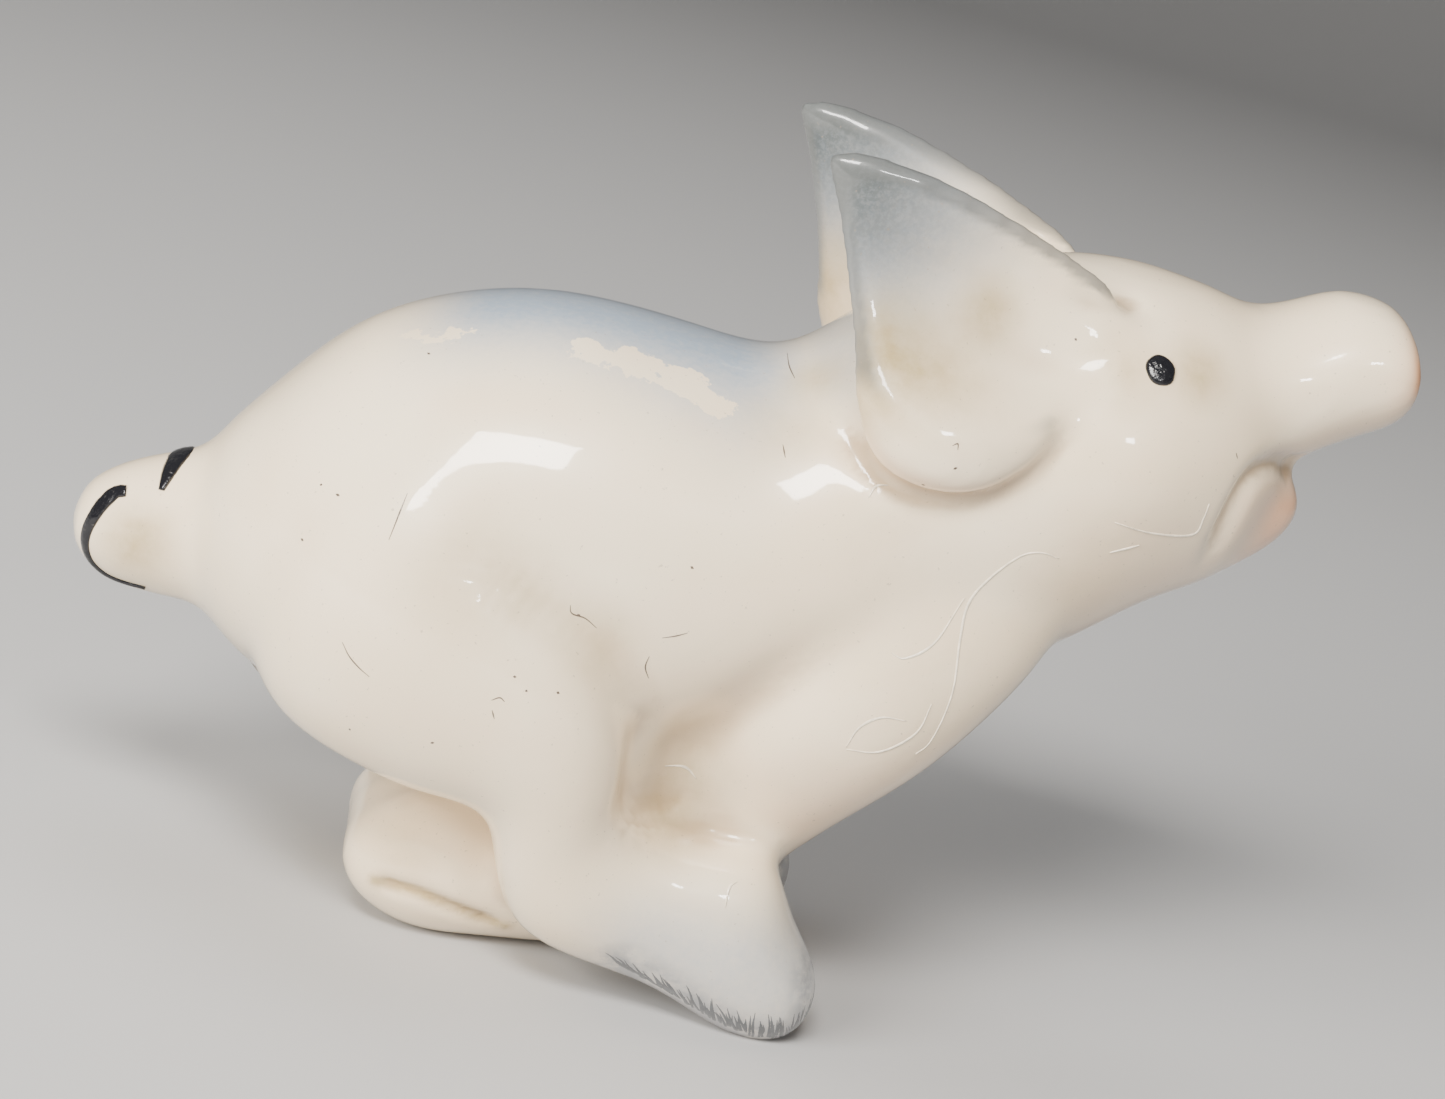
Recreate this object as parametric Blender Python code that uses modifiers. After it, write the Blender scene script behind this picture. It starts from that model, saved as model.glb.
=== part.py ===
"""A glazed earthenware money box in the shape of a leaping pig.

The clay form is built once from hand-set ribs, fused and softened, and is then divided
into the pieces that the maker lutes together: the hollow body, the tail knob and the
tucked front hooves.  The ears, the enamel and the rubber stopper are made to fit it.
Metres.  +X points to the snout, +Z is up, and the soles stand on Z = 0.
"""
import math

import bmesh
import bpy
import numpy as np
from mathutils import Matrix, Vector
from mathutils.bvhtree import BVHTree

MM = 0.001

# Overall sizes
LENGTH = 188 * MM               # tail tip to snout
WIDTH = 79 * MM                 # across the haunches
HEIGHT = 130 * MM               # sole to ear tips

# The clay
WALL = 4.2 * MM                 # cast wall of the body
SEAM = 0.3 * MM                 # slip joint left between luted pieces
TAIL_SEAM_X = -76 * MM          # plane where the tail knob is luted on
WRIST_SEAM_X = -12 * MM         # plane where the front hooves are luted on
BAY_HALF_WIDTH = 14.5 * MM      # room for the front hooves between the hind shanks
BAY_TOP = 24.5 * MM
SHANK_BACK_X = -26 * MM         # behind this plane nothing stands beside the hooves

# Coin slot, across the nape between the ears
SLOT_X = 15.5 * MM
SLOT_LENGTH = 33 * MM
SLOT_WIDTH = 4.8 * MM

# Stopper, under the rump
HOLE_X = -53.5 * MM
HOLE_TILT = math.radians(15)    # the hole faces down and back
HOLE_DIAMETER = 17 * MM
SEAT_SINK = 2.7 * MM            # depth of the flat seat, which the flange fills
SEAT_CLEARING = 8 * MM          # clay cleared below the seat
SEAT_WALL = 3.6 * MM            # clay above the seat
SEAT_COLLAR = 3 * MM            # how far that clay runs beyond the seat
STOPPER_CLEARANCE = 0.3 * MM
STOPPER_DEPTH = 11 * MM         # length of the plug inside the flange
STOPPER_TAPER = 0.8 * MM        # how much the plug's radius shrinks to its end
FLANGE_RIM = 3 * MM             # flange beyond the hole
FLANGE_THICKNESS = 2.4 * MM

# Enamel
EYE_X = 51.5 * MM
EYE_Z = 110.5 * MM
EYE_DIAMETER = 5.4 * MM
ENAMEL_WIDTH = 2.3 * MM         # brush stroke on the tail
ENAMEL_HEIGHT = 0.5 * MM
STROKE_POINTS = 16
STROKE_TAPER = 0.35             # share of its width that a stroke loses to its thin end

# How finely the clay is worked
RING = 10                       # corners of a rib
VOXEL = 1.6 * MM
SOFTENING = 10                  # smoothing passes over the fused form
SKIN_SHARE = 0.075              # share of triangles kept on the outside
EAR_SHARE = 0.45
HOLLOW_VOXEL = 2.4 * MM
HOLLOW_SHARE = 0.15

# Length, width and height of the pig that the ribs below were drawn on
DRAWN = (188 * MM, 79 * MM, 130 * MM)
STRETCH = (LENGTH / DRAWN[0], WIDTH / DRAWN[1], HEIGHT / DRAWN[2])

# A rib is an ellipse across a limb, drawn in millimetres: the X and Z of its low end,
# the X and Z of its high end, the Y of its middle, and half its width.
TORSO = (
    (-76.5, 48, -76.5, 56, 0, 4),
    (-74, 41.5, -75.5, 64, 0, 12),
    (-67, 35, -69, 73.5, 0, 22),
    (-56, 30, -58, 86, 0, 30),
    (-42, 28.5, -43, 94, 0, 34),
    (-26, 29, -27, 97, 0, 34.5),
    (-9, 32, -9, 96.3, 0, 33),
    (9, 38, 3, 96.8, 0, 31),
    (27, 47, 11, 104, 0, 29),
    (43, 56, 21, 112, 0, 28),
    (55.5, 65.3, 33, 118, 0, 27.5),
    (64.5, 73, 45, 121, 0, 26),
    (73, 78.5, 55, 121, 0, 22.5),
    (77, 86, 63, 120, 0, 18),
    (79, 92, 69, 118, 0, 13),
    (79, 97, 74, 115, 0, 9),
)
SNOUT = (
    (56, 93, 46, 115, 0, 16),
    (64, 95, 54, 117, 0, 18.5),
    (72, 96.5, 64, 118.3, 0, 16.5),
    (80, 98.8, 72, 120, 0, 14.8),
    (86.5, 103, 80, 124.3, 0, 14),
    (90.8, 105.6, 85.8, 124.6, 0, 13.6),
    (93, 107.8, 88.7, 123.8, 0, 13),
    (93.9, 109.4, 90.4, 122.4, 0, 11.6),
    (94, 112, 91.9, 119.8, 0, 7),
)
CHIN = (
    (59, 69, 57, 90, 0, 12),
    (69, 75, 63, 95, 0, 13),
    (75.3, 80, 69, 96, 0, 12.5),
    (81, 85.5, 75, 96.5, 0, 11),
    (83.2, 90.3, 79, 96.5, 0, 9),
    (83.8, 92, 81.3, 95.7, 0, 5.5),
)
HIND_LEG = (
    (-65.5, 41, -65, 60, 17, 7),
    (-57.5, 32.5, -58, 72, 20.5, 12.5),
    (-46, 28.5, -48, 76, 23, 15.5),
    (-36, 26.5, -32, 72, 23.5, 16),
    (-27, 26, -14, 60, 24, 15),
    (-24, 20.5, -5, 44, 24, 12.5),
    (-22, 15, -4, 32, 23.5, 10.5),
    (-18, 9, 4, 27, 23, 9.8),
    (-9, 5.5, 12, 27.5, 22.5, 9.8),
    (3, 3.5, 18, 26, 22.5, 9.8),
    (13.3, -0.5, 22.2, 19, 22.5, 9.2),
    (21.6, -2, 27.6, 12, 22.5, 7.5),
    (27.3, 0.3, 29.3, 6, 22.5, 4.5),
)
FRONT_LEG = (
    (49, 80, 21, 88, 12, 8),
    (50, 68.3, 15, 74, 15, 12.5),
    (43.7, 55.4, 10, 62, 17, 13.5),
    (35.5, 43.3, 5, 53, 17, 13),
    (27.5, 32.8, 1, 45, 14, 11.5),
    (20.5, 22.5, -2, 36, 10, 10),
    (10, 11.5, -7, 27, 8, 8.5),
    (-5, 2, -13, 20, 8, 8),
    (-16, 0, -21, 19, 8.5, 8.5),
    (-24, -0.5, -28, 20.5, 9, 10),
    (-32, -0.8, -34, 20.5, 9, 10.3),
    (-40, 2.2, -40.5, 17, 9, 9),
    (-45, 7, -45, 13, 8.5, 5.5),
)
# Clay that joins the shanks across the middle
LEG_WEB = (
    (-29, 19, -31, 34, 0, 8),
    (-22, 15, -24, 38, 0, 12),
    (-8, 11, -10, 42, 0, 14.5),
    (6, 18, 2, 44, 0, 13),
    (15, 30, 11, 46, 0, 8),
)
# Clay that joins the two tucked front hooves
HOOF_WEB = (
    (-18, 2, -22, 18, 0, 8),
    (-26, 0, -29, 20, 0, 10),
    (-34, 0, -35.5, 20, 0, 10),
    (-41, 3, -41.5, 16.5, 0, 9),
    (-44.6, 7, -44.6, 12.8, 0, 5),
)
# Floor of the hollow between a hind leg and a front leg
POCKET = (
    (-16, 26, -17, 46, 13, 5),
    (-9, 23, -11, 48, 14.5, 7.5),
    (-1, 22, -4, 49, 15, 8),
    (8, 25, 3, 49, 14.5, 7.5),
    (15, 32, 9, 49, 14, 5),
)
TAIL = (
    (-63, 43, -61, 62, 0, 7),
    (-71, 39.5, -70.5, 63, 0, 10),
    (-79, 38.7, -80, 61, 0, 10.5),
    (-86.5, 39.5, -87.5, 57.5, 0, 9.5),
    (-91.5, 42.5, -92, 54, 0, 7),
    (-93.6, 45.8, -93.6, 51, 0, 4),
)
# An ear's ribs lie level: the X and Z of the rear end and of the front end, the Y of
# those two ends, half the thickness, and how deeply the outer face is dished.  The front
# ends run into the head.
EAR = (
    (19, 87.6, 28, 87.6, (27.5, 26.5), 3.5, 0),
    (13.5, 91, 34, 90.5, (28.8, 26), 6, 0),
    (9.5, 97.5, 40.5, 98, (29, 24.5), 6.5, 0.15),
    (6.7, 105, 44.5, 105, (27.5, 21.5), 5.6, 0.75),
    (4, 112, 47.5, 112.5, (25.5, 18), 4.9, 1.1),
    (1.4, 118.5, 45, 118.6, (24, 16), 4.3, 1.0),
    (-1, 124, 32.5, 124.3, (23, 19), 3.8, 0.7),
    (-3.2, 128.2, 18.5, 128.6, (22.5, 21.3), 3.3, 0.4),
    (-4, 130.4, 8, 130.5, (22.3, 22), 2.6, 0),
)
# Enamel strokes on the tail: X and the angle up round the tail from the side seen first,
# thick end first
TAIL_AXIS_Z = 51
CURL = ((-85.3, 27), (-89, 14), (-90.7, -8), (-89.8, -36), (-86.5, -55), (-81, -62))
TWIST = ((-79.2, 150), (-79.4, 118), (-79.8, 88), (-80.6, 62), (-81.1, 36))

# Ribs whose inside is hollow, counted from each end of a limb
HOLLOW_TORSO = slice(2, 14)
HOLLOW_HIND_LEG = slice(1, 5)
HOLLOW_FRONT_LEG = slice(1, 4)


def clear_scene():
    for ob in list(bpy.data.objects):
        bpy.data.objects.remove(ob, do_unlink=True)


def new_collection(name):
    collection = bpy.data.collections.new(name)
    bpy.context.scene.collection.children.link(collection)
    return collection


def material(name, colour, roughness, coat=0.0):
    mat = bpy.data.materials.new(name)
    mat.use_nodes = True
    shader = mat.node_tree.nodes["Principled BSDF"]
    shader.inputs["Base Color"].default_value = (*colour, 1)
    shader.inputs["Roughness"].default_value = roughness
    shader.inputs["Metallic"].default_value = 0
    shader.inputs["Coat Weight"].default_value = coat
    mat.diffuse_color = (*colour, 1)
    return mat


def add_object(name, data, collection, mat=None):
    ob = bpy.data.objects.new(name, data)
    collection.objects.link(ob)
    if mat:
        data.materials.clear()
        data.materials.append(mat)
    if collection.name == "cutters":
        ob.hide_render = True
        ob.display_type = "WIRE"
    return ob


def evaluated_mesh(ob):
    """A plain copy of the object's mesh with its modifiers worked out."""
    graph = bpy.context.evaluated_depsgraph_get()
    return bpy.data.meshes.new_from_object(ob.evaluated_get(graph))


def subtract(ob, cutter):
    cut = ob.modifiers.new(f"Less {cutter.name}", "BOOLEAN")
    cut.operation = "DIFFERENCE"
    cut.solver = "EXACT"
    cut.object = cutter


def keep_inside(ob, cutter):
    cut = ob.modifiers.new(f"Within {cutter.name}", "BOOLEAN")
    cut.operation = "INTERSECT"
    cut.solver = "EXACT"
    cut.object = cutter


def block(name, low, high, collection):
    """A box between two opposite corners."""
    bm = bmesh.new()
    bmesh.ops.create_cube(bm, size=1)
    size = Vector(high) - Vector(low)
    middle = (Vector(high) + Vector(low)) / 2
    bmesh.ops.transform(bm, matrix=Matrix.Translation(middle) @ Matrix.Diagonal((*size, 1)), verts=bm.verts)
    mesh = bpy.data.meshes.new(name)
    bm.to_mesh(mesh)
    bm.free()
    return add_object(name, mesh, collection)


def prism(name, outline, low_z, high_z, collection):
    """A solid with upright sides on an outline of X and Y corners."""
    bm = bmesh.new()
    base = bm.faces.new([bm.verts.new((x, y, low_z)) for x, y in outline])
    top = bmesh.ops.extrude_face_region(bm, geom=[base])["geom"]
    corners = [part for part in top if isinstance(part, bmesh.types.BMVert)]
    bmesh.ops.translate(bm, vec=(0, 0, high_z - low_z), verts=corners)
    bmesh.ops.recalc_face_normals(bm, faces=bm.faces)
    mesh = bpy.data.meshes.new(name)
    bm.to_mesh(mesh)
    bm.free()
    return add_object(name, mesh, collection)


def hoof_bay(name, slack, low_z, cutters):
    """The room of the front hooves, wider behind the shanks, less a slack all round."""
    wrist_x = WRIST_SEAM_X * STRETCH[0] - slack
    shank_x = SHANK_BACK_X * STRETCH[0] - slack
    narrow = BAY_HALF_WIDTH * STRETCH[1] - slack
    wide = WIDTH / 2
    back = -0.3 * LENGTH
    side = [(wrist_x, narrow), (shank_x, narrow), (shank_x, wide), (back, wide)]
    outline = side + [(x, -y) for x, y in reversed(side)]
    return prism(name, outline, low_z, BAY_TOP * STRETCH[2] - slack, cutters)


def stretched(ribs):
    """Drawn ribs at the real size: low point, high point, half width and dish."""
    sx, sy, sz = STRETCH
    rows = []
    for low_x, low_z, high_x, high_z, y, half_width, *dish in ribs:
        low_y, high_y = np.broadcast_to(y, 2)
        low = (low_x * MM * sx, low_y * MM * sy, low_z * MM * sz)
        high = (high_x * MM * sx, high_y * MM * sy, high_z * MM * sz)
        rows.append((*low, *high, half_width * MM * sy, *(dish or (0,))))
    return np.array(rows)


def thinned(rows, wall):
    """The same ribs with a wall's thickness taken off all round."""
    inner = rows.copy()
    for row in inner:
        run = row[3:6] - row[0:3]
        step = run / np.linalg.norm(run) * wall
        row[0:3] += step
        row[3:6] -= step
        row[6] -= wall
    return inner


def through(rows):
    """Cage values whose subdivided surface passes through the given ones."""
    count = len(rows)
    weights = np.eye(count)
    for i in range(1, count - 1):
        weights[i, i - 1:i + 2] = (1 / 6, 4 / 6, 1 / 6)
    return np.linalg.solve(weights, rows)


def add_limb(bm, rows, side=1):
    """Rings of corners on the ribs, joined into a closed cage in the given bmesh."""
    swell = 1 / (2 / 3 + math.cos(2 * math.pi / RING) / 3)
    rings = []
    for row in through(rows):
        middle = (row[0:3] + row[3:6]) / 2
        half = (row[3:6] - row[0:3]) / 2
        ring = []
        for k in range(RING):
            turn = 2 * math.pi * k / RING
            out = math.sin(turn)
            across = row[6] * out
            if out > 0:
                across *= 1 - row[7] * out
            point = middle + swell * (math.cos(turn) * half + across * np.array((0, 1, 0)))
            point[1] *= side
            ring.append(bm.verts.new(point))
        rings.append(ring)
    faces = [bm.faces.new(rings[0]), bm.faces.new(rings[-1])]
    for near, far in zip(rings, rings[1:]):
        for k in range(RING):
            after = (k + 1) % RING
            faces.append(bm.faces.new((near[k], near[after], far[after], far[k])))
    bmesh.ops.recalc_face_normals(bm, faces=faces)


def cage(name, limbs, collection):
    """One object holding the cages of several limbs, with soft subdivided surfaces."""
    bm = bmesh.new()
    for rows, side in limbs:
        add_limb(bm, rows, side)
    mesh = bpy.data.meshes.new(name)
    bm.to_mesh(mesh)
    bm.free()
    ob = add_object(name, mesh, collection)
    soft = ob.modifiers.new("Soft", "SUBSURF")
    soft.levels = 3
    soft.render_levels = soft.levels
    return ob


def fuse(ob, voxel, passes, share):
    """Fuse overlapping limbs into one skin, soften where they meet, and thin the mesh."""
    join = ob.modifiers.new("Fuse", "REMESH")
    join.mode = "VOXEL"
    join.voxel_size = voxel
    soften = ob.modifiers.new("Soften", "SMOOTH")
    soften.factor = 0.5
    soften.iterations = passes
    thin = ob.modifiers.new("Thin", "DECIMATE")
    thin.ratio = share


def grown(name, mesh, amount, collection):
    """A copy of a skin pushed out along its normals, to cut pieces that sit on it."""
    ob = add_object(name, mesh.copy(), collection)
    push = ob.modifiers.new("Grow", "DISPLACE")
    push.mid_level = 0
    push.strength = amount
    return ob


def both_sides(rows):
    return [(rows, 1), (rows, -1)]


def build_clay(cutters):
    """The outer form without its ears, and the hollow inside it."""
    torso = stretched(TORSO)
    hind_leg = stretched(HIND_LEG)
    front_leg = stretched(FRONT_LEG)
    outside = [(stretched(ribs), 1) for ribs in (TORSO, SNOUT, CHIN, LEG_WEB, HOOF_WEB, TAIL)]
    outside += both_sides(hind_leg) + both_sides(front_leg) + both_sides(stretched(POCKET))
    form = cage("whole_form", outside, cutters)
    fuse(form, VOXEL, SOFTENING, SKIN_SHARE)
    inside = [(thinned(torso[HOLLOW_TORSO], WALL), 1)]
    inside += both_sides(thinned(hind_leg[HOLLOW_HIND_LEG], WALL))
    inside += both_sides(thinned(front_leg[HOLLOW_FRONT_LEG], WALL))
    hollow = cage("hollow", inside, cutters)
    fuse(hollow, HOLLOW_VOXEL, SOFTENING, HOLLOW_SHARE)
    return form, hollow


def surface_point(tree, origin, direction):
    point, normal, _, _ = tree.ray_cast(Vector(origin), Vector(direction))
    return point, normal


def seat_frame(tree):
    """World matrix of the stopper's seat: local +Z runs up into the pig."""
    x = HOLE_X * STRETCH[0]
    point, _ = surface_point(tree, (x, 0, -HEIGHT), (0, 0, 1))
    turn = Matrix.Rotation(HOLE_TILT, 4, "Y")
    inward = turn @ Vector((0, 0, 1))
    return Matrix.Translation(point + inward * SEAT_SINK) @ turn


def turned(name, profile, collection, mat=None, steps=48):
    """A solid turned about local Z from a profile of (radius, height), top to bottom."""
    bm = bmesh.new()
    corners = [bm.verts.new((radius, 0, height)) for radius, height in profile]
    for upper, lower in zip(corners, corners[1:]):
        bm.edges.new((upper, lower))
    mesh = bpy.data.meshes.new(name)
    bm.to_mesh(mesh)
    bm.free()
    ob = add_object(name, mesh, collection, mat)
    spin = ob.modifiers.new("Turn", "SCREW")
    spin.steps = steps
    spin.render_steps = steps
    spin.use_merge_vertices = True
    spin.merge_threshold = 0.00001
    return ob


def seat_radius():
    return HOLE_DIAMETER / 2 + FLANGE_RIM + SEAM


def seat_boss(seat, cutters):
    """Clay left standing inside the hollow, so that the seat keeps its thickness."""
    radius = seat_radius() + SEAT_COLLAR
    profile = ((0, SEAT_WALL), (radius, SEAT_WALL), (radius, -2 * WALL), (0, -2 * WALL))
    boss = turned("seat_boss", profile, cutters)
    boss.matrix_world = seat
    return boss


def hole_cutter(seat, cutters):
    hole_radius = HOLE_DIAMETER / 2
    profile = (
        (0, 2.5 * STOPPER_DEPTH),
        (hole_radius, 2.5 * STOPPER_DEPTH),
        (hole_radius, 0),
        (seat_radius(), 0),
        (seat_radius(), -SEAT_CLEARING),
        (0, -SEAT_CLEARING),
    )
    cutter = turned("stopper_hole", profile, cutters)
    cutter.matrix_world = seat
    return cutter


def build_stopper(seat, bank):
    rubber = material("stopper_rubber", (0.16, 0.145, 0.13), 0.75)
    radius = HOLE_DIAMETER / 2 - STOPPER_CLEARANCE
    rim = HOLE_DIAMETER / 2 + FLANGE_RIM
    top = -SEAM
    bottom = top - FLANGE_THICKNESS
    round_over = 0.3 * FLANGE_THICKNESS
    profile = (
        (0, STOPPER_DEPTH),
        (radius - STOPPER_TAPER - round_over, STOPPER_DEPTH),
        (radius - STOPPER_TAPER, STOPPER_DEPTH - round_over),
        (radius, top),
        (rim - round_over, top),
        (rim, top - round_over),
        (rim, bottom + round_over),
        (rim - round_over, bottom),
        (0, bottom),
    )
    stopper = turned("stopper", profile, bank, rubber)
    stopper.matrix_world = seat
    return stopper


def slot_cutter(cutters):
    x = SLOT_X * STRETCH[0]
    low = (x - SLOT_WIDTH / 2, -SLOT_LENGTH / 2, 0.62 * HEIGHT)
    high = (x + SLOT_WIDTH / 2, SLOT_LENGTH / 2, HEIGHT)
    slot = block("coin_slot", low, high, cutters)
    ends = slot.modifiers.new("Round ends", "BEVEL")
    ends.width = 0.45 * SLOT_WIDTH
    ends.segments = 4
    ends.limit_method = "ANGLE"
    return slot


def build_body(skin, hollow, slot, hole, bank, cutters, glaze):
    """The cast shell: the form without its tail knob and front hooves, hollowed."""
    body = add_object("body_shell", skin.copy(), bank, glaze)
    tail_x = TAIL_SEAM_X * STRETCH[0]
    beyond = LENGTH
    ground = block("below_ground", (-beyond, -beyond, -beyond), (beyond, beyond, 0), cutters)
    behind_tail = block("behind_tail_seam", (-beyond, -beyond, 0), (tail_x, beyond, HEIGHT), cutters)
    bay = hoof_bay("hoof_bay", 0, -HEIGHT, cutters)
    for cutter in (ground, behind_tail, bay, hollow, slot, hole):
        subtract(body, cutter)
    return body


def build_tail(skin, bank, cutters, glaze):
    tail = add_object("tail_knob", skin.copy(), bank, glaze)
    tail_x = TAIL_SEAM_X * STRETCH[0] - SEAM
    keep_inside(tail, block("tail_side", (-LENGTH, -WIDTH, 0), (tail_x, WIDTH, HEIGHT), cutters))
    return tail


def build_front_hooves(skin, hole, bank, cutters, glaze):
    hooves = add_object("front_hooves", skin.copy(), bank, glaze)
    subtract(hooves, hole)
    keep_inside(hooves, hoof_bay("hoof_room", SEAM, 0, cutters))
    return hooves


def build_ears(grown_skin, bank, glaze):
    for name, side in (("ear_left", 1), ("ear_right", -1)):
        ear = cage(name, [(stretched(EAR), side)], bank)
        ear.modifiers["Soft"].levels = 2
        ear.modifiers["Soft"].render_levels = 2
        thin = ear.modifiers.new("Thin", "DECIMATE")
        thin.ratio = EAR_SHARE
        ear.data.materials.append(glaze)
        subtract(ear, grown_skin)


def build_eyes(tree, grown_skin, bank, enamel):
    """A flattened bead on each side of the head, with its back fitted to the glaze."""
    for name, side in (("eye_left", 1), ("eye_right", -1)):
        start = (EYE_X * STRETCH[0], side * WIDTH, EYE_Z * STRETCH[2])
        point, normal = surface_point(tree, start, (0, -side, 0))
        bm = bmesh.new()
        bmesh.ops.create_uvsphere(bm, u_segments=16, v_segments=8, radius=EYE_DIAMETER / 2)
        bead_height = 2 * (ENAMEL_HEIGHT + SEAM) / EYE_DIAMETER
        bmesh.ops.scale(bm, vec=(1, 1, bead_height), verts=bm.verts)
        mesh = bpy.data.meshes.new(name)
        bm.to_mesh(mesh)
        bm.free()
        eye = add_object(name, mesh, bank, enamel)
        eye.matrix_world = Matrix.Translation(point) @ normal.to_track_quat("Z", "Y").to_matrix().to_4x4()
        subtract(eye, grown_skin)


def stroke(name, guides, tree, grown_skin, bank, enamel):
    """A raised brush stroke: a tapering bead laid on the tail and fitted to it."""
    data = bpy.data.curves.new(name, "CURVE")
    data.dimensions = "3D"
    data.resolution_u = 1
    data.render_resolution_u = 0
    data.bevel_depth = ENAMEL_WIDTH / 2
    data.bevel_resolution = 2
    data.use_fill_caps = True
    spline = data.splines.new("NURBS")
    spline.points.add(STROKE_POINTS - 1)
    spline.use_endpoint_u = True
    spline.order_u = 3
    marks = np.arange(len(guides))
    for index, along in enumerate(np.linspace(0, marks[-1], STROKE_POINTS)):
        x, degrees = (np.interp(along, marks, values) for values in zip(*guides))
        axis = Vector((x * MM * STRETCH[0], 0, TAIL_AXIS_Z * MM * STRETCH[2]))
        turn = math.radians(degrees)
        outward = Vector((0, -math.cos(turn), math.sin(turn)))
        point, normal = surface_point(tree, axis + outward * WIDTH, -outward)
        share = 1 - STROKE_TAPER * along / marks[-1]
        lift = ENAMEL_HEIGHT + SEAM - share * ENAMEL_WIDTH / 2
        spline.points[index].co = (*(point + normal * lift), 1)
        spline.points[index].radius = share
    ob = add_object(name, data, bank, enamel)
    mesh = evaluated_mesh(ob)
    bpy.data.objects.remove(ob)
    ob = add_object(name, mesh, bank, enamel)
    subtract(ob, grown_skin)


def main():
    clear_scene()
    bank = new_collection("leaping_pig_money_box")
    cutters = new_collection("cutters")
    glaze = material("cream_glaze", (0.80, 0.74, 0.66), 0.16, coat=0.6)
    enamel = material("black_enamel", (0.012, 0.012, 0.014), 0.12, coat=0.4)
    form, hollow = build_clay(cutters)
    skin = evaluated_mesh(form)
    grown_skin = grown("grown_skin", skin, SEAM, cutters)
    tree = BVHTree.FromObject(form, bpy.context.evaluated_depsgraph_get())
    seat = seat_frame(tree)
    hole = hole_cutter(seat, cutters)
    subtract(hollow, seat_boss(seat, cutters))
    build_body(skin, hollow, slot_cutter(cutters), hole, bank, cutters, glaze)
    build_tail(skin, bank, cutters, glaze)
    build_front_hooves(skin, hole, bank, cutters, glaze)
    build_ears(grown_skin, bank, glaze)
    build_eyes(tree, grown_skin, bank, enamel)
    stroke("tail_curl_enamel", CURL, tree, grown_skin, bank, enamel)
    stroke("tail_twist_enamel", TWIST, tree, grown_skin, bank, enamel)
    build_stopper(seat, bank)


main()
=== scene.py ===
"""Looks of the leaping-pig money box: its glazed skin, enamel, stopper and studio.

The clay is lofted again from the design's own ribs, far finer than the CAD solids, and
fused into one continuous glazed skin, as the fired piece is.  Metres, in the CAD frame:
+X to the snout, +Z up, soles on Z = 0, and the pig's right side at -Y.
"""

import math

import bmesh
import bpy
import numpy as np
from mathutils import Matrix, Vector
from mathutils.bvhtree import BVHTree


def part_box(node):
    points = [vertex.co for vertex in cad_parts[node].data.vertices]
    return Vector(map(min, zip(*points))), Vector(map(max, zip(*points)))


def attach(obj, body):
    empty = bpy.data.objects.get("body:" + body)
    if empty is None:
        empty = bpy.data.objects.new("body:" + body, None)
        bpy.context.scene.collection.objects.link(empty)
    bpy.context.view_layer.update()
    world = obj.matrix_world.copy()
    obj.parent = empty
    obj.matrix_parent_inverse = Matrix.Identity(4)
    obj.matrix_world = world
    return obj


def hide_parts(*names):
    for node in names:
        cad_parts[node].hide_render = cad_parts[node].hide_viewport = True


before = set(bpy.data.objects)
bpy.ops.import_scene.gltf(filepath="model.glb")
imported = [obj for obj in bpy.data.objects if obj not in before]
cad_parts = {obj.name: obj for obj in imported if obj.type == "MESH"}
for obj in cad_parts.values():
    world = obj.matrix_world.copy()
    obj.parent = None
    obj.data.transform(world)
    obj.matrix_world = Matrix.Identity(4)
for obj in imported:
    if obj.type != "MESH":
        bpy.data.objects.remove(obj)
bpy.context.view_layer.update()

MM = 0.001
BODY = "bank"
RIGHT = -1                      # the side seen first
LEFT = 1

# A rib is an ellipse across a limb: the X and Z of its low end, the X and Z of its high
# end, the Y of its middle, and half its width, in millimetres.
TORSO = (
    (-76.5, 48, -76.5, 56, 0, 4),
    (-74, 41.5, -75.5, 64, 0, 12),
    (-67, 35, -69, 73.5, 0, 22),
    (-56, 30, -58, 86, 0, 30),
    (-42, 28.5, -43, 94, 0, 34),
    (-26, 29, -27, 97, 0, 34.5),
    (-9, 32, -9, 96.3, 0, 33),
    (9, 38, 3, 96.8, 0, 31),
    (27, 47, 11, 104, 0, 29),
    (43, 56, 21, 112, 0, 28),
    (55.5, 65.3, 33, 118, 0, 27.5),
    (64.5, 73, 45, 121, 0, 26),
    (73, 78.5, 55, 121, 0, 22.5),
    (77, 86, 63, 120, 0, 18),
    (79, 92, 69, 118, 0, 13),
    (79, 97, 74, 115, 0, 9),
)
SNOUT = (
    (56, 93, 46, 115, 0, 16),
    (64, 95, 54, 117, 0, 18.5),
    (72, 96.5, 64, 118.3, 0, 16.5),
    (80, 98.8, 72, 120, 0, 14.8),
    (86.5, 103, 80, 124.3, 0, 14),
    (90.8, 105.6, 85.8, 124.6, 0, 13.6),
    (93, 107.8, 88.7, 123.8, 0, 13),
    (93.9, 109.4, 90.4, 122.4, 0, 11.6),
    (94, 112, 91.9, 119.8, 0, 7),
)
CHIN = (
    (59, 69, 57, 90, 0, 12),
    (69, 75, 63, 95, 0, 13),
    (75.3, 80, 69, 96, 0, 12.5),
    (81, 85.5, 75, 96.5, 0, 11),
    (83.2, 90.3, 79, 96.5, 0, 9),
    (83.8, 92, 81.3, 95.7, 0, 5.5),
)
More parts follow.
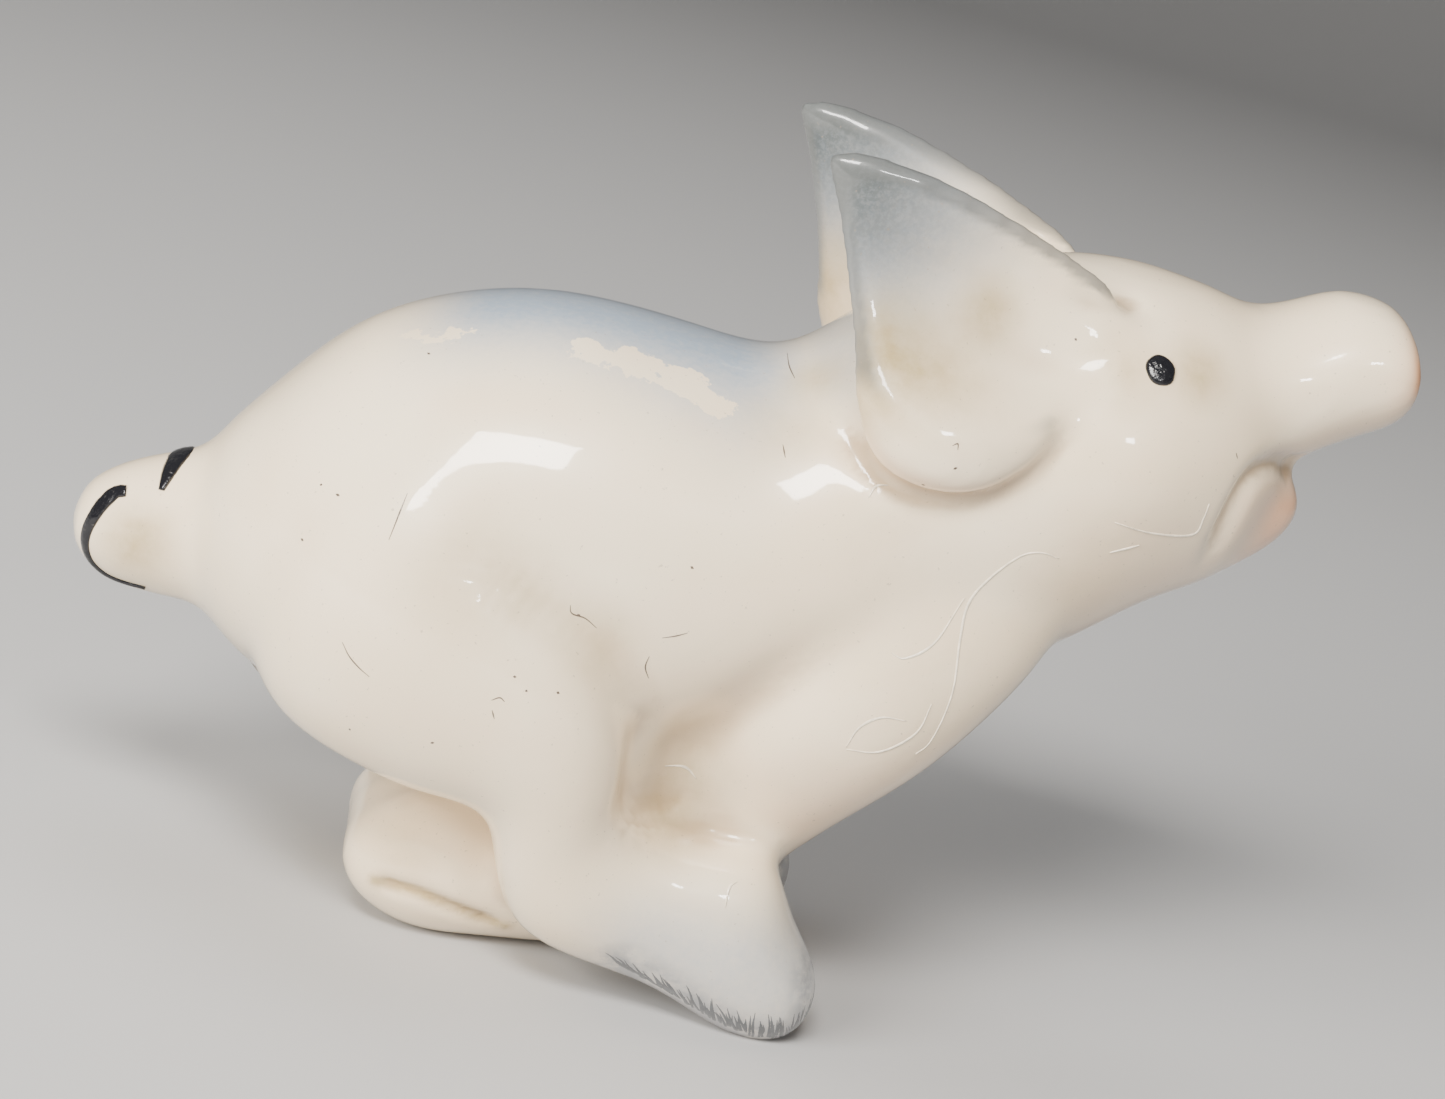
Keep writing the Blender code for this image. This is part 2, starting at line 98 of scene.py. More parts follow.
HIND_LEG = (
    (-65.5, 41, -65, 60, 17, 7),
    (-57.5, 32.5, -58, 72, 20.5, 12.5),
    (-46, 28.5, -48, 76, 23, 15.5),
    (-36, 26.5, -32, 72, 23.5, 16),
    (-27, 26, -14, 60, 24, 15),
    (-24, 20.5, -5, 44, 24, 12.5),
    (-22, 15, -4, 32, 23.5, 10.5),
    (-18, 9, 4, 27, 23, 9.8),
    (-9, 5.5, 12, 27.5, 22.5, 9.8),
    (3, 3.5, 18, 26, 22.5, 9.8),
    (13.3, -0.5, 22.2, 19, 22.5, 9.2),
    (21.6, -2, 27.6, 12, 22.5, 7.5),
    (27.3, 0.3, 29.3, 6, 22.5, 4.5),
)
FRONT_LEG = (
    (49, 80, 21, 88, 12, 8),
    (50, 68.3, 15, 74, 15, 12.5),
    (43.7, 55.4, 10, 62, 17, 13.5),
    (35.5, 43.3, 5, 53, 17, 13),
    (27.5, 32.8, 1, 45, 14, 11.5),
    (20.5, 22.5, -2, 36, 10, 10),
    (10, 11.5, -7, 27, 8, 8.5),
    (-5, 2, -13, 20, 8, 8),
    (-16, 0, -21, 19, 8.5, 8.5),
    (-24, -0.5, -28, 20.5, 9, 10),
    (-32, -0.8, -34, 20.5, 9, 10.3),
    (-40, 2.2, -40.5, 17, 9, 9),
    (-45, 7, -45, 13, 8.5, 5.5),
)
# Clay that joins the shanks across the middle
LEG_WEB = (
    (-29, 19, -31, 34, 0, 8),
    (-22, 15, -24, 38, 0, 12),
    (-8, 11, -10, 42, 0, 14.5),
    (6, 18, 2, 44, 0, 13),
    (15, 30, 11, 46, 0, 8),
)
TAIL = (
    (-63, 43, -61, 62, 0, 7),
    (-71, 39.5, -70.5, 63, 0, 10),
    (-79, 38.7, -80, 61, 0, 10.5),
    (-86.5, 39.5, -87.5, 57.5, 0, 9.5),
    (-91.5, 42.5, -92, 54, 0, 7),
    (-93.6, 45.8, -93.6, 51, 0, 4),
)
# Clay that joins the two tucked front hooves
HOOF_WEB = (
    (-18, 2, -22, 18, 0, 8),
    (-26, 0, -29, 20, 0, 10),
    (-34, 0, -35.5, 20, 0, 10),
    (-41, 3, -41.5, 16.5, 0, 9),
    (-44.6, 7, -44.6, 12.8, 0, 5),
)
# Floor of the hollow between a hind leg and a front leg
POCKET = (
    (-16, 26, -17, 46, 13, 5),
    (-9, 23, -11, 48, 14.5, 7.5),
    (-1, 22, -4, 49, 15, 8),
    (8, 25, 3, 49, 14.5, 7.5),
    (15, 32, 9, 49, 14, 5),
)
# An ear's ribs lie level: the X and Z of the rear end and of the front end, the Y of those
# two ends, half the thickness, and how deeply the outer face is dished.  The front ends
# run into the head.
EAR = (
    (19, 87.6, 28, 87.6, (27.5, 26.5), 3.5, 0),
    (13.5, 91, 34, 90.5, (28.8, 26), 6, 0),
    (9.5, 97.5, 40.5, 98, (29, 24.5), 6.5, 0.15),
    (6.7, 105, 44.5, 105, (27.5, 21.5), 5.6, 0.75),
    (4, 112, 47.5, 112.5, (25.5, 18), 4.9, 1.1),
    (1.4, 118.5, 45, 118.6, (24, 16), 4.3, 1.0),
    (-1, 124, 32.5, 124.3, (23, 19), 3.8, 0.7),
    (-3.2, 128.2, 18.5, 128.6, (22.5, 21.3), 3.3, 0.4),
    (-4, 130.4, 8, 130.5, (22.3, 22), 2.6, 0),
)
# The coin room follows these stretches of the ribs, a wall's thickness inside them
HOLLOW = ((TORSO, slice(2, 14)), (HIND_LEG, slice(1, 5)), (FRONT_LEG, slice(1, 4)))
WALL = 4.2 * MM

# Coin slot across the nape, and the stopper's seat under the rump
SLOT_X = 15.5 * MM
SLOT_LENGTH = 33 * MM
SLOT_WIDTH = 4.8 * MM
SLOT_BOTTOM = 80 * MM           # the cutting blade's ends, clear of the clay above and inside
SLOT_TOP = 130 * MM
HOLE_RADIUS = 8.5 * MM
SEAT_RADIUS = 11.8 * MM
SEAT_SINK = 2.7 * MM            # depth of the flat seat
SEAT_CLEARING = 8 * MM          # clay cleared below the seat
SEAT_COLLAR = 3 * MM            # clay that runs beyond the seat inside
SEAT_WALL = 3.6 * MM
SEAT_TILT = math.radians(15)
CLEARANCE = 0.3 * MM            # between the stopper and its hole and seat
STOPPER_DEPTH = 11 * MM
FLANGE_RIM = 3 * MM             # flange beyond the hole

# Enamel
EYE = (51.6, 110.4)             # X and Z
EYE_RADIUS = 2.45 * MM
EYE_HEIGHT = 0.62 * MM
EYE_CORNERS = 40

# How finely the clay is worked
RING = 14                       # corners of a rib
BODY_VOXEL = 1.0 * MM
SKIN_VOXEL = 0.93 * MM
HOLLOW_VOXEL = 2.4 * MM

# Lines of the modelling, as X and Z seen from the pig's side
MOUTH = (
    (78.5, 98.4), (75.5, 99.5), (72, 99.2), (69.6, 97.4), (68.3, 94), (67.8, 89.5), (67.6, 85), (67.8, 80),
)
THIGH_FOLD = ((-44, 69), (-32, 64), (-17, 57), (-9.5, 48), (-6, 37), (-5, 27))
LEG_FOLD = ((17, 68), (6, 50), (1, 41), (2, 30))
POCKET_EDGE = ((-8, 50), (-6.8, 43), (-6.3, 36), (-5.5, 30))
HOOF_CREASE = ((-38.6, 8.4), (-35.6, 8.4), (-31.8, 8.2), (-27, 7), (-22.2, 5.6), (-18.2, 4.6))
LOBE_FOLD = ((9.1, 94), (11.8, 90), (16, 87.7), (22.7, 86.8), (30.2, 88.6), (35.5, 92.6), (39, 98), (41, 104))
BROW_FOLD = ((35.3, 118.2), (39.3, 117), (43, 117), (46.5, 117.7), (50, 117.9))
# What is pressed into the clay: line, depth, width and where along the line it fades in and out
PRESSED = (
    (THIGH_FOLD, 1.3, 5.5, (0.3, 0.9)),
    (LEG_FOLD, 0.8, 5, (0.3, 0.9)),
    (LOBE_FOLD, 0.9, 2.2, (0.12, 0.8)),
    (POCKET_EDGE, 1.2, 3.4, (0.35, 0.7)),
    (MOUTH, 1.8, 2.1, (0, 0.65)),
    (HOOF_CREASE, 1.3, 1.1, (0.15, 0.8)),
    (BROW_FOLD, 0.55, 1.8, (0.3, 0.7)),
)
# Soft hollows on both sides, the last of them a swelling: X, Z, depth, and reach along X, Y and Z
DENTS = (
    (34, 108.5, 1.4, (9, 12, 4.5)),
    (46.5, 116.8, 0.6, (4.5, 8, 2)),
    (51, 95, -1.5, (12, 12, 8)),
)
# The nostrils: Y to each side, Z, depth and reach
NOSTRIL = (4.3, 117, 1.3, (3, 1.7, 2.3))

# Brush strokes on the tail.  The curl is drawn as X and Z; the twist, which crosses over
# the tail, as X and the angle round the tail's axis.
CURL = (
    (-86, 55.2), (-87.6, 54.4), (-89.2, 52), (-90.3, 48.5), (-90.1, 45.5), (-88.6, 43), (-85.6, 41.5),
    (-80.5, 41.3),
)
TWIST = ((-79.2, 150), (-79.4, 118), (-79.8, 88), (-80.6, 62), (-81.1, 42))
TAIL_AXIS_Z = 50

# Paint on the hind hooves: the line that the short brush strokes stand on, as X and Z
HOOF_EDGE = ((-2, 8.4), (4, 6), (9, 4), (14, 2.2), (19, 1.1), (24, 1), (27, 3), (28, 7.5), (27, 12))

# Crazing lines, as X and Z
CRAZING = (
    (
        (44, 81.8), (41.2, 82.2), (38.3, 81), (35.1, 76.9), (33.1, 72.5), (33.2, 67), (34.1, 59.4),
        (33.3, 51.7), (31.7, 49.2),
    ),
    ((21.3, 48.7), (22.3, 52.1), (25, 54.3), (28.6, 54.5)),
    ((21.4, 48.3), (26.4, 49), (30.6, 52.8), (31.5, 57.7)),
    ((15.2, 84.4), (15.9, 86), (17.5, 86.6)),
    ((49.9, 89), (56.1, 88.2), (62.7, 88.6), (63.4, 91.5), (63.4, 93.8)),
    ((51, 84.1), (53.3, 85.1), (55, 86)),
    ((32.3, 73.3), (29.7, 66.5), (26.2, 63.4), (23.9, 63.6)),
    ((-2.1, 37.3), (0.9, 37.5), (3, 36.1)),
    ((10.5, 21.2), (10.6, 23.7), (11.6, 24.5)),
)
# Hairs and scratches caught in the glaze
HAIRS = (
    ((-47.4, 71.5), (-47.9, 68.8), (-48.5, 65.4)),
    ((-51.5, 50.2), (-50.2, 48.6), (-48.5, 47.4), (-46.9, 46.6)),
    ((-22.2, 61.6), (-21.7, 60.5), (-19.7, 60.1), (-17.8, 59)),
    ((-8.5, 59.4), (-6.7, 60.1), (-5.2, 60.9)),
    ((-9.5, 56.1), (-9.6, 54.3), (-8.7, 52.6)),
    ((2.4, 97.5), (2.3, 96), (3.1, 95)),
    ((2.3, 87.8), (2.9, 86.4)),
    ((-30, 47.6), (-29, 48.2), (-28.2, 47.8)),
    ((-29.6, 46.2), (-29, 45)),
    ((23.3, 95.8), (24, 96.2), (24.2, 95.4)),
    ((65.6, 101.4), (66.1, 100.6)),
)
# Specks in the glaze, as X and Z
SPECKS = (
    (-59.2, 68.4), (-56.8, 68.3), (-60.1, 61), (-48.7, 87.5), (-27.9, 51.5), (-21.1, 60.3), (24.3, 92.7),
    (38.7, 111.7), (-7.2, 70.4), (-47.9, 37.1), (-36.6, 38.9), (20.9, 89.2), (-21.5, 50.4), (-25.8, 50),
)
# Age stains on the flanks, and painted shade in the hollow between a hind leg and a front leg: X, Z, radius
# and strength
STAINS_AND_POCKET_SHADE = (
    (-83, 48.5, 9, 0.6), (15, 105, 14, 0.5), (10, 100, 11, 0.45), (10, 107, 9, 0.3), (25.5, 112.5, 8, 0.6),
    (24, 103, 13, 0.25), (6, 96, 8, 0.4), (-37, 64, 14, 0.22), (-28, 62, 10, 0.25), (-18, 57, 10, 0.3),
    # (0, 37) and (0, 29) on the row below are painted shade in the hollow between a hind leg and a front leg
    (0, 37, 13, 0.4), (0, 29, 11, 0.35), (57.5, 111, 8, 0.5), (46, 109, 9, 0.4), (-36, 15, 9, 0.25),
    (3, 90, 11, 0.25), (20, 80, 16, 0.14), (48, 78, 16, 0.16), (30, 62, 18, 0.12),
)
# Where the grey spray has come away from the back: X, Y, Z and radius
WORN = (
    (-53, -11, 91.5, 7), (-47, -15, 93.5, 8), (-41, -17, 94.5, 5), (-27, -17, 95, 6), (-20, -17, 95, 7),
    (-13, -18, 94, 7), (-7, -20, 92.5, 6), (-47, 17, 92, 7), (-41, 14, 94.5, 7), (-35, 15, 95, 5),
    (-22, 18, 94.5, 6), (-16, 20, 94, 8), (-9, 19, 94, 6),
)


# ---------------------------------------------------------------- clay

def through(rows):
    """Cage values whose subdivided surface passes through the given ones."""
    count = len(rows)
    weights = np.eye(count)
    for i in range(1, count - 1):
        weights[i, i - 1:i + 2] = (1 / 6, 4 / 6, 1 / 6)
    return np.linalg.solve(weights, rows)


def rib_rows(ribs, inset=0.0):
    """Low point, high point, half width and dish of each rib, less a wall all round."""
    rows = []
    for low_x, low_z, high_x, high_z, y, half_width, *dish in ribs:
        low_y, high_y = np.broadcast_to(y, 2)
        low = np.array((low_x, low_y, low_z)) * MM
        high = np.array((high_x, high_y, high_z)) * MM
        step = (high - low) / np.linalg.norm(high - low) * inset
        rows.append((*(low + step), *(high - step), half_width * MM - inset, *(dish or (0,))))
    return np.array(rows)


def add_limb(bm, rows, side=1):
    """Rings of corners on the ribs, joined into a closed cage in the given bmesh."""
    swell = 1 / (2 / 3 + math.cos(2 * math.pi / RING) / 3)
    rings = []
    for row in through(rows):
        middle = (row[0:3] + row[3:6]) / 2
        half = (row[3:6] - row[0:3]) / 2
        ring = []
        for k in range(RING):
            turn = 2 * math.pi * k / RING
            out = math.sin(turn)
            across = row[6] * out
            if out > 0:
                across *= 1 - row[7] * out
            point = middle + swell * (math.cos(turn) * half + across * np.array((0, 1, 0)))
            point[1] *= side
            ring.append(bm.verts.new(point))
        rings.append(ring)
    faces = [bm.faces.new(rings[0]), bm.faces.new(rings[-1])]
    for near, far in zip(rings, rings[1:]):
        for k in range(RING):
            after = (k + 1) % RING
            faces.append(bm.faces.new((near[k], near[after], far[after], far[k])))
    bmesh.ops.recalc_face_normals(bm, faces=faces)


def cage(name, limbs):
    """One object holding the cages of several limbs, with soft subdivided surfaces."""
    bm = bmesh.new()
    for rows, side in limbs:
        add_limb(bm, rows, side)
    ob = add_mesh(name, bm)
    soft = ob.modifiers.new("Soft", "SUBSURF")
    soft.levels = 3
    return ob


def both_sides(rows):
    """The same limb on the left and the right, as cage() takes it."""
    return [(rows, LEFT), (rows, RIGHT)]


def add_mesh(name, bm, mat=None):
    mesh = bpy.data.meshes.new(name)
    bm.to_mesh(mesh)
    bm.free()
    ob = bpy.data.objects.new(name, mesh)
    bpy.context.scene.collection.objects.link(ob)
    if mat:
        mesh.materials.append(mat)
    return ob


def bake_modifiers(ob):
    graph = bpy.context.evaluated_depsgraph_get()
    mesh = bpy.data.meshes.new_from_object(ob.evaluated_get(graph))
    ob.modifiers.clear()
    old = ob.data
    ob.data = mesh
    bpy.data.meshes.remove(old)


def fuse(ob, voxel):
    """Fuse overlapping closed forms into one skin."""
    join = ob.modifiers.new("Fuse", "REMESH")
    join.mode = "VOXEL"
    join.voxel_size = voxel
    bake_modifiers(ob)


def points_of(mesh, what="co"):
    values = np.empty(len(mesh.vertices) * 3)
    if what == "co":
        mesh.vertices.foreach_get("co", values)
    else:
        mesh.vertex_normals.foreach_get("vector", values)
    return values.reshape(-1, 3)


def set_points(mesh, points):
    mesh.vertices.foreach_set("co", points.ravel())
    mesh.update()


def relaxed(mesh, passes, share=1.0):
    """Points of a mesh after smoothing: each pass moves them half way to their neighbours."""
    edges = np.empty(len(mesh.edges) * 2, np.int64)
    mesh.edges.foreach_get("vertices", edges)
    a, b = edges.reshape(-1, 2).T
    ends = np.concatenate((a, b))
    others = np.concatenate((b, a))
    size = len(mesh.vertices)
    count = np.bincount(ends, minlength=size)
    points = points_of(mesh)
    pull = 0.5 * np.broadcast_to(share, size)
    for _ in range(passes):
        for axis in range(3):
            mean = np.bincount(ends, points[others, axis], size) / count
            points[:, axis] += pull * (mean - points[:, axis])
    return points


def relax(mesh, passes, share=1.0):
    set_points(mesh, relaxed(mesh, passes, share))


def smoothstep(low, high, value):
    t = np.clip((value - low) / (high - low), 0, 1)
    return t * t * (3 - 2 * t)


def join_objects(target, *others):
    """Put the others' meshes into the target, with all modifiers worked out."""
    bm = bmesh.new()
    graph = bpy.context.evaluated_depsgraph_get()
    for ob in (target, *others):
        mesh = bpy.data.meshes.new_from_object(ob.evaluated_get(graph))
        bm.from_mesh(mesh)
        bpy.data.meshes.remove(mesh)
    target.modifiers.clear()
    bm.to_mesh(target.data)
    bm.free()
    for ob in others:
        bpy.data.objects.remove(ob)


def curve_through(points, count):
    """A number of points along a smooth curve through the given ones."""
    points = np.array(points, float)
    tail = np.vstack((2 * points[0] - points[1], points, 2 * points[-1] - points[-2]))
    result = []
    for along in np.linspace(0, len(points) - 1, count):
        i = min(int(along), len(points) - 2)
        t = along - i
        p0, p1, p2, p3 = tail[i:i + 4]
        result.append(0.5 * (2 * p1 + (p2 - p0) * t + (2 * p0 - 5 * p1 + 4 * p2 - p3) * t ** 2
                             + (3 * p1 - p0 - 3 * p2 + p3) * t ** 3))
    return np.array(result)


class Surface:
    """A mesh to draw on: points with their normals, found from the side or nearest."""

    def __init__(self, ob):
        self.tree = BVHTree.FromObject(ob, bpy.context.evaluated_depsgraph_get())

    def from_side(self, x, z, side):
        start = Vector((x * MM, side * 0.2, z * MM))
        hit, normal, _, _ = self.tree.ray_cast(start, Vector((0, -side, 0)))
        return hit, normal

    def pair(self, x, z):
        """The points at X and Z in millimetres on the right and left sides."""
        return [self.from_side(x, z, side)[0] for side in (RIGHT, LEFT)]

    def nearest(self, point):
        hit, normal, _, _ = self.tree.find_nearest(Vector(point))
        return hit, normal

    def path(self, guides, side, count=40):
        found = [self.from_side(x, z, side) for x, z in curve_through(guides, count)]
        return [(hit, normal) for hit, normal in found if hit is not None]


def near_path(mesh, surface, guides):
    """Each point's distance to a line drawn on both sides, and how far along it that is."""
    size = len(mesh.vertices)
    best = np.full(size, 1.0)
    along = np.zeros(size)
    points = points_of(mesh)
    for side in (RIGHT, LEFT):
        line = np.array([hit for hit, _ in surface.path(guides, side)])
        for i, spot in enumerate(line):
            gap = np.linalg.norm(points - spot, axis=1)
            closer = gap < best
            best[closer] = gap[closer]
            along[closer] = i / (len(line) - 1)
    return best, along


def press(mesh, surface, guides, depth, width, fade):
    """Press a soft groove into the skin along a line."""
    gap, along = near_path(mesh, surface, guides)
    ends = (smoothstep(0, fade[0], along) if fade[0] else 1) * (1 - smoothstep(fade[1], 1, along))
    shape = np.exp(-(gap / (width * MM)) ** 2) * ends
    points = points_of(mesh) - points_of(mesh, "normal") * (depth * MM * shape)[:, None]
    set_points(mesh, points)


def dent(mesh, spots, depth, reach):
    """A soft hollow (or swelling, with a negative depth) at each spot; lengths in mm."""
    points = points_of(mesh)
    normals = points_of(mesh, "normal")
    for spot in spots:
        gap = (points - np.array(spot)) / (np.array(reach) * MM)
        points -= normals * (depth * MM * np.exp(-(gap ** 2).sum(1)))[:, None]
    set_points(mesh, points)


def subtract(ob, cutter):
    cut = ob.modifiers.new("Cut", "BOOLEAN")
    cut.operation = "DIFFERENCE"
    cut.solver = "MANIFOLD"
    cut.object = cutter
    cut.material_mode = "TRANSFER"
    bake_modifiers(ob)
    bpy.data.objects.remove(cutter)


def build_skin(glaze, biscuit):
    """The whole glazed form in one skin, with its slot, stopper hole and coin room."""
    outside = [(rib_rows(ribs), 1) for ribs in (TORSO, SNOUT, CHIN, LEG_WEB, HOOF_WEB, TAIL)]
    for limb in (HIND_LEG, FRONT_LEG, POCKET):
        outside += both_sides(rib_rows(limb))
    skin = cage("glazed_skin", outside)
    fuse(skin, BODY_VOXEL)
    snout_end = smoothstep(84 * MM, 91 * MM, points_of(skin.data)[:, 0])
    relax(skin.data, 28, 1 - 0.8 * snout_end)
    x, _, z = points_of(skin.data).T / MM
    haunch = np.exp(-((x + 42) / 18) ** 2 - ((z - 72) / 15) ** 2)
    relax(skin.data, 120, haunch)
    join_objects(skin, cage("ears", both_sides(rib_rows(EAR))))
    fuse(skin, SKIN_VOXEL)
    relax(skin.data, 5)
    subtract(skin, slot_cutter())
    fuse(skin, SKIN_VOXEL)
    _, y, z = points_of(skin.data).T / MM
    ears = smoothstep(13, 17, np.abs(y)) * smoothstep(98, 104, z)
    relax(skin.data, 14, np.maximum(0.3, ears))
    model_details(skin)
    skin.data.materials.clear()
    skin.data.materials.append(glaze)
    skin.data.shade_smooth()
    paint_skin(skin, Surface(skin))
    seat = seat_frame()
    subtract(skin, hole_cutter(seat, biscuit))
    hollow = build_hollow(biscuit)
    subtract(hollow, seat_boss(seat, biscuit))
    subtract(skin, hollow)
    return skin


def model_details(skin):
    mesh = skin.data
    surface = Surface(skin)
    for line in PRESSED:
        press(mesh, surface, *line)
    for x, z, depth, reach in DENTS:
        dent(mesh, surface.pair(x, z), depth, reach)
    y, z, depth, reach = NOSTRIL
    ahead = [Vector((0.2, side * y * MM, z * MM)) for side in (RIGHT, LEFT)]
    dent(mesh, [surface.tree.ray_cast(start, Vector((-1, 0, 0)))[0] for start in ahead], depth, reach)
    flatten_soles(mesh)


def flatten_soles(mesh):
    points = points_of(mesh)
    points[:, 2] = np.maximum(points[:, 2], 0)
    set_points(mesh, points)


def slot_cutter():
    """An upright blade with round ends, across the nape."""
    outline = []
    for side in (LEFT, RIGHT):
        for angle in np.linspace(0, math.pi, 13):
            x = side * math.cos(angle) * SLOT_WIDTH / 2
            y = side * (math.sin(angle) * SLOT_WIDTH / 2 + SLOT_LENGTH / 2 - SLOT_WIDTH / 2)
            outline.append((SLOT_X + x, y))
    bm = bmesh.new()
    base = bm.faces.new([bm.verts.new((x, y, SLOT_BOTTOM)) for x, y in outline])
    top = bmesh.ops.extrude_face_region(bm, geom=[base])["geom"]
    corners = [part for part in top if isinstance(part, bmesh.types.BMVert)]
    bmesh.ops.translate(bm, vec=(0, 0, SLOT_TOP - SLOT_BOTTOM), verts=corners)
    bmesh.ops.recalc_face_normals(bm, faces=bm.faces)
    return add_mesh("slot_cutter", bm)


def seat_frame():
    """Where the stopper sits: its axis runs up and forward into the pig."""
    low = Vector(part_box("stopper")[0])
    turn = Matrix.Rotation(SEAT_TILT, 4, "Y")
    across = 2 * (SEAT_RADIUS - CLEARANCE)
    rise = across * math.sin(SEAT_TILT)
    foot = Vector((low.x, 0, low.z + rise))
    inward = turn @ Vector((0, 0, 1))
    forward = turn @ Vector((1, 0, 0))
    return Matrix.Translation(foot + forward * across / 2 + inward * SEAT_SINK) @ turn


def spin_round(bm, outline, steps, weld):
    """Turn an outline about Z and weld its ends together."""
    bmesh.ops.spin(bm, geom=outline, axis=(0, 0, 1), cent=(0, 0, 0), angle=2 * math.pi, steps=steps)
    bmesh.ops.remove_doubles(bm, verts=bm.verts, dist=weld)
    bmesh.ops.recalc_face_normals(bm, faces=bm.faces)


def turned(name, profile, seat, mat, steps=64):
    """A solid turned about the seat's axis from a profile of radius and height."""
    bm = bmesh.new()
    verts = [bm.verts.new((radius, 0, height)) for radius, height in profile]
    edges = [bm.edges.new(pair) for pair in zip(verts, verts[1:])]
    spin_round(bm, verts + edges, steps, 1e-6)
    bm.transform(seat)
    return add_mesh(name, bm, mat)


def hole_cutter(seat, biscuit):
    deep = 2.5 * STOPPER_DEPTH
    profile = (
        (0, deep),
        (HOLE_RADIUS, deep),
        (HOLE_RADIUS, 0),
        (SEAT_RADIUS, 0),
        (SEAT_RADIUS, -SEAT_CLEARING),
        (0, -SEAT_CLEARING),
    )
    return turned("stopper_hole", profile, seat, biscuit)


def seat_boss(seat, biscuit):
    """Clay left standing inside, so that the seat keeps its thickness."""
    radius = SEAT_RADIUS + SEAT_COLLAR
    profile = ((0, SEAT_WALL), (radius, SEAT_WALL), (radius, -SEAT_CLEARING), (0, -SEAT_CLEARING))
    return turned("seat_boss", profile, seat, biscuit)


def build_hollow(biscuit):
    limbs = []
    for ribs, stretch in HOLLOW:
        rows = rib_rows(ribs, WALL)[stretch]
        limbs += both_sides(rows) if ribs[0][4] else [(rows, 1)]
    hollow = cage("coin_room", limbs)
    fuse(hollow, HOLLOW_VOXEL)
    relax(hollow.data, 3)
    hollow.data.materials.clear()
    hollow.data.materials.append(biscuit)
    hollow.data.shade_smooth()
    return hollow


# ---------------------------------------------------------------- drawn on the glaze

def bead(bm, path, widths, height):
    """A raised line on the skin, with an oval section half sunk in it and pointed ends."""
    corners = 8
    rings = []
    spots = np.array([spot for spot, _ in path])
    for i, (spot, normal) in enumerate(path):
        ahead = spots[min(i + 1, len(spots) - 1)] - spots[max(i - 1, 0)]
        across = normal.cross(Vector(ahead)).normalized()
        ring = []
        for angle in np.linspace(0, 2 * math.pi, corners, endpoint=False):
            out = across * (math.cos(angle) * widths[i] / 2) + normal * (math.sin(angle) * height)
            ring.append(bm.verts.new(spot + out))
        rings.append(ring)
    for near, far in zip(rings, rings[1:]):
        for k in range(corners):
            bm.faces.new((near[k], near[k - 1], far[k - 1], far[k]))
    bm.faces.new(rings[0])
    bm.faces.new(reversed(rings[-1]))


def finish_marks(name, bm, mat, slot, *replaced):
    bmesh.ops.recalc_face_normals(bm, faces=bm.faces)
    ob = add_mesh(name, bm, mat)
    ob.data.shade_smooth()
    if replaced:
        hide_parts(*replaced)
    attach(ob, BODY)
    return ob


def swelling(count, start, middle, end, peak=0.35):
    """Widths along a brush stroke in metres, from one end to the other."""
    along = np.linspace(0, 1, count)
    return np.interp(along, (0, peak, 1), (start * MM, middle * MM, end * MM))


def build_tail_strokes(surface, enamel):
    """The curl beside the tail and the twist over its top."""
    path = surface.path(CURL, RIGHT, 48)
    bm = bmesh.new()
    bead(bm, path, swelling(len(path), 2.0, 2.6, 0.7, 0.2), 0.42 * MM)
    finish_marks("tail_curl", bm, enamel, "black_enamel", "tail_curl_enamel")
    path = []
    for x, degrees in curve_through(TWIST, 48):
        turn = math.radians(degrees)
        outward = Vector((0, -math.cos(turn), math.sin(turn)))
        axis = Vector((x * MM, 0, TAIL_AXIS_Z * MM))
        hit, normal, _, _ = surface.tree.ray_cast(axis + outward * 0.05, -outward)
        path.append((hit, normal))
    bm = bmesh.new()
    bead(bm, path, swelling(len(path), 1.8, 4.0, 1.0, 0.5), 0.4 * MM)
    finish_marks("tail_twist", bm, enamel, "black_enamel", "tail_twist_enamel")


def build_eye(surface, side, enamel, rng):
    """A dab of enamel: an uneven dome fitted to the skin."""
    name = "eye_right" if side == RIGHT else "eye_left"
    centre, normal = surface.from_side(*EYE, side)
    turn = normal.to_track_quat("Z", "Y")
    waves = rng.uniform(0, 2 * math.pi, 3)
    bm = bmesh.new()
    rings = []
    for level in np.linspace(1, 0, 9)[:-1]:
        ring = []
        for angle in np.linspace(0, 2 * math.pi, EYE_CORNERS, endpoint=False):
            wobble = 1 + 0.03 * math.sin(2 * angle + waves[0]) + 0.02 * math.sin(5 * angle + waves[1])
            out = turn @ Vector((math.cos(angle), math.sin(angle), 0)) * (EYE_RADIUS * wobble * level)
            spot, lie = surface.nearest(centre + out)
            lumps = 0.05 * math.sin(7 * angle + 9 * level + waves[2])
            rise = EYE_HEIGHT * math.sqrt(max(1 - level ** 2, 0)) * (1 + lumps)
            ring.append(bm.verts.new(spot + lie * (rise if level < 1 else -0.2 * MM)))
        rings.append(ring)
    top = bm.verts.new(centre + normal * EYE_HEIGHT)
    for outer, inner in zip(rings, rings[1:]):
        for k in range(EYE_CORNERS):
            bm.faces.new((outer[k - 1], outer[k], inner[k], inner[k - 1]))
    for k in range(EYE_CORNERS):
        bm.faces.new((rings[-1][k - 1], rings[-1][k], top))
    bm.faces.new(rings[0])
    finish_marks(name + "_dab", bm, enamel, "black_enamel", name)


